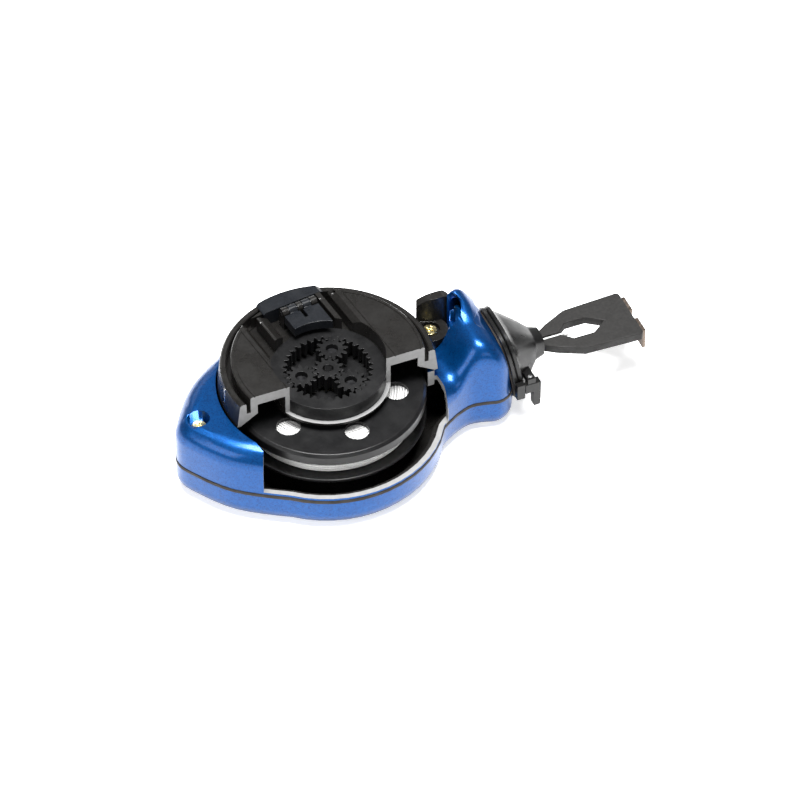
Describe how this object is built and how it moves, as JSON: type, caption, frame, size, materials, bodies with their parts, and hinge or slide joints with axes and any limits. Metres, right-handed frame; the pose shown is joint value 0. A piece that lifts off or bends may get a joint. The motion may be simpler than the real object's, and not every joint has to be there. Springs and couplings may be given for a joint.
{
  "type": "chalk line reel",
  "caption": "Cutaway chalk line reel: teardrop case, planetary geared crank dial, line spool, clutch lever, nozzle door and flat line hook.",
  "frame": {"origin": "on the reel's axis, at the rear case's flat face", "axes": "+X along the case towards the nozzle and the hook, +Z along the reel's axis towards the crank dial, +Y to the lever's side"},
  "size_m": [0.1897, 0.09, 0.0482],
  "materials": {
    "case_paint": "metallic flake paint, satin clear coat; cut faces light grey",
    "seal_rubber": "matt",
    "black_plastic": "satin",
    "gear_plastic": "satin",
    "crank_plastic": "satin",
    "gloss_black": "gloss",
    "hook_plastic": "matt",
    "brass_plate": "bright",
    "steel": "bright",
    "hook_steel": "dull",
    "chalk_line": "braided",
    "felt": "felt"
  },
  "bodies": {
    "case": {"rear_case": "case_paint", "front_case": "case_paint", "case_gasket": "seal_rubber", "rear_liner": "black_plastic", "tail_screw": "brass_plate", "neck_screws": "steel", "center_post": "steel", "lower_bush": "brass_plate", "planet_pins": "steel", "gear_plate": "gear_plastic", "gear_plate_screws": "steel", "neck_gasket": "seal_rubber", "neck_collar": "gloss_black", "door_hinge_pin": "steel", "line_lead": "chalk_line"},
    "dial": {"dial": "black_plastic", "ring_gear": "gear_plastic", "crank_rest": "crank_plastic", "crank_pin": "steel", "detent_pin": "steel"},
    "crank": {"crank_arm": "crank_plastic"},
    "spool": {"spool_hub": "gear_plastic", "spool_flange": "gear_plastic", "line_winding": "chalk_line", "sun_gear": "gear_plastic", "upper_bush": "brass_plate"},
    "planet_1": {"planet_gear_1": "gear_plastic"},
    "planet_2": {"planet_gear_2": "gear_plastic"},
    "planet_3": {"planet_gear_3": "gear_plastic"},
    "lever": {"clutch_lever": "black_plastic", "lever_screw": "brass_plate", "clutch_cam": "steel"},
    "door": {"nozzle": "gloss_black", "line_wiper": "felt", "wiper_cap": "gloss_black", "line_eyelet": "steel", "latch_pin": "steel"},
    "clip": {"latch_clip": "gloss_black"},
    "hook": {"hook_plate": "hook_plastic", "hook_claw": "hook_steel", "line_tail": "chalk_line", "line_knot": "chalk_line"}
  },
  "joints": [
    {"name": "dial_spin", "type": "hinge", "parent": "case", "child": "dial", "pos_m": [0, 0, 0.042], "axis": [0, 0, 1], "continuous": true},
    {"name": "planet_1_spin", "type": "hinge", "parent": "case", "child": "planet_1", "pos_m": [0.0054, 0.00935, 0.0374], "axis": [0, 0, 1], "continuous": true},
    {"name": "planet_2_spin", "type": "hinge", "parent": "case", "child": "planet_2", "pos_m": [-0.0108, 0, 0.0374], "axis": [0, 0, 1], "continuous": true},
    {"name": "planet_3_spin", "type": "hinge", "parent": "case", "child": "planet_3", "pos_m": [0.0054, -0.00935, 0.0374], "axis": [0, 0, 1], "continuous": true},
    {"name": "spool_spin", "type": "hinge", "parent": "case", "child": "spool", "pos_m": [0, 0, 0.023], "axis": [0, 0, 1], "continuous": true},
    {"name": "crank_fold", "type": "hinge", "parent": "dial", "child": "crank", "pos_m": [0.00012, 0.02977, 0.0462], "axis": [-0.9914, -0.1305, 0], "range_deg": [0, 180]},
    {"name": "lever_turn", "type": "hinge", "parent": "case", "child": "lever", "pos_m": [0.0466, 0.0115, 0.032], "axis": [0, 0, 1], "range_deg": [0, 22]},
    {"name": "door_swing", "type": "hinge", "parent": "case", "child": "door", "pos_m": [0.075, 0.0174, 0.022], "axis": [0, 0, 1], "range_deg": [0, 100]},
    {"name": "clip_turn", "type": "hinge", "parent": "door", "child": "clip", "pos_m": [0.0768, -0.0154, 0.016], "axis": [0, 0, 1], "range_deg": [0, 18]},
    {"name": "hook_pull", "type": "slide", "parent": "door", "child": "hook", "axis": [1, 0, 0], "range_m": [0, 0.032]}
  ],
  "couplings": [
    {"joint": "planet_1_spin", "follows": "dial_spin", "ratio": 3},
    {"joint": "planet_2_spin", "follows": "dial_spin", "ratio": 3},
    {"joint": "planet_3_spin", "follows": "dial_spin", "ratio": 3},
    {"joint": "spool_spin", "follows": "dial_spin", "ratio": -3}
  ]
}
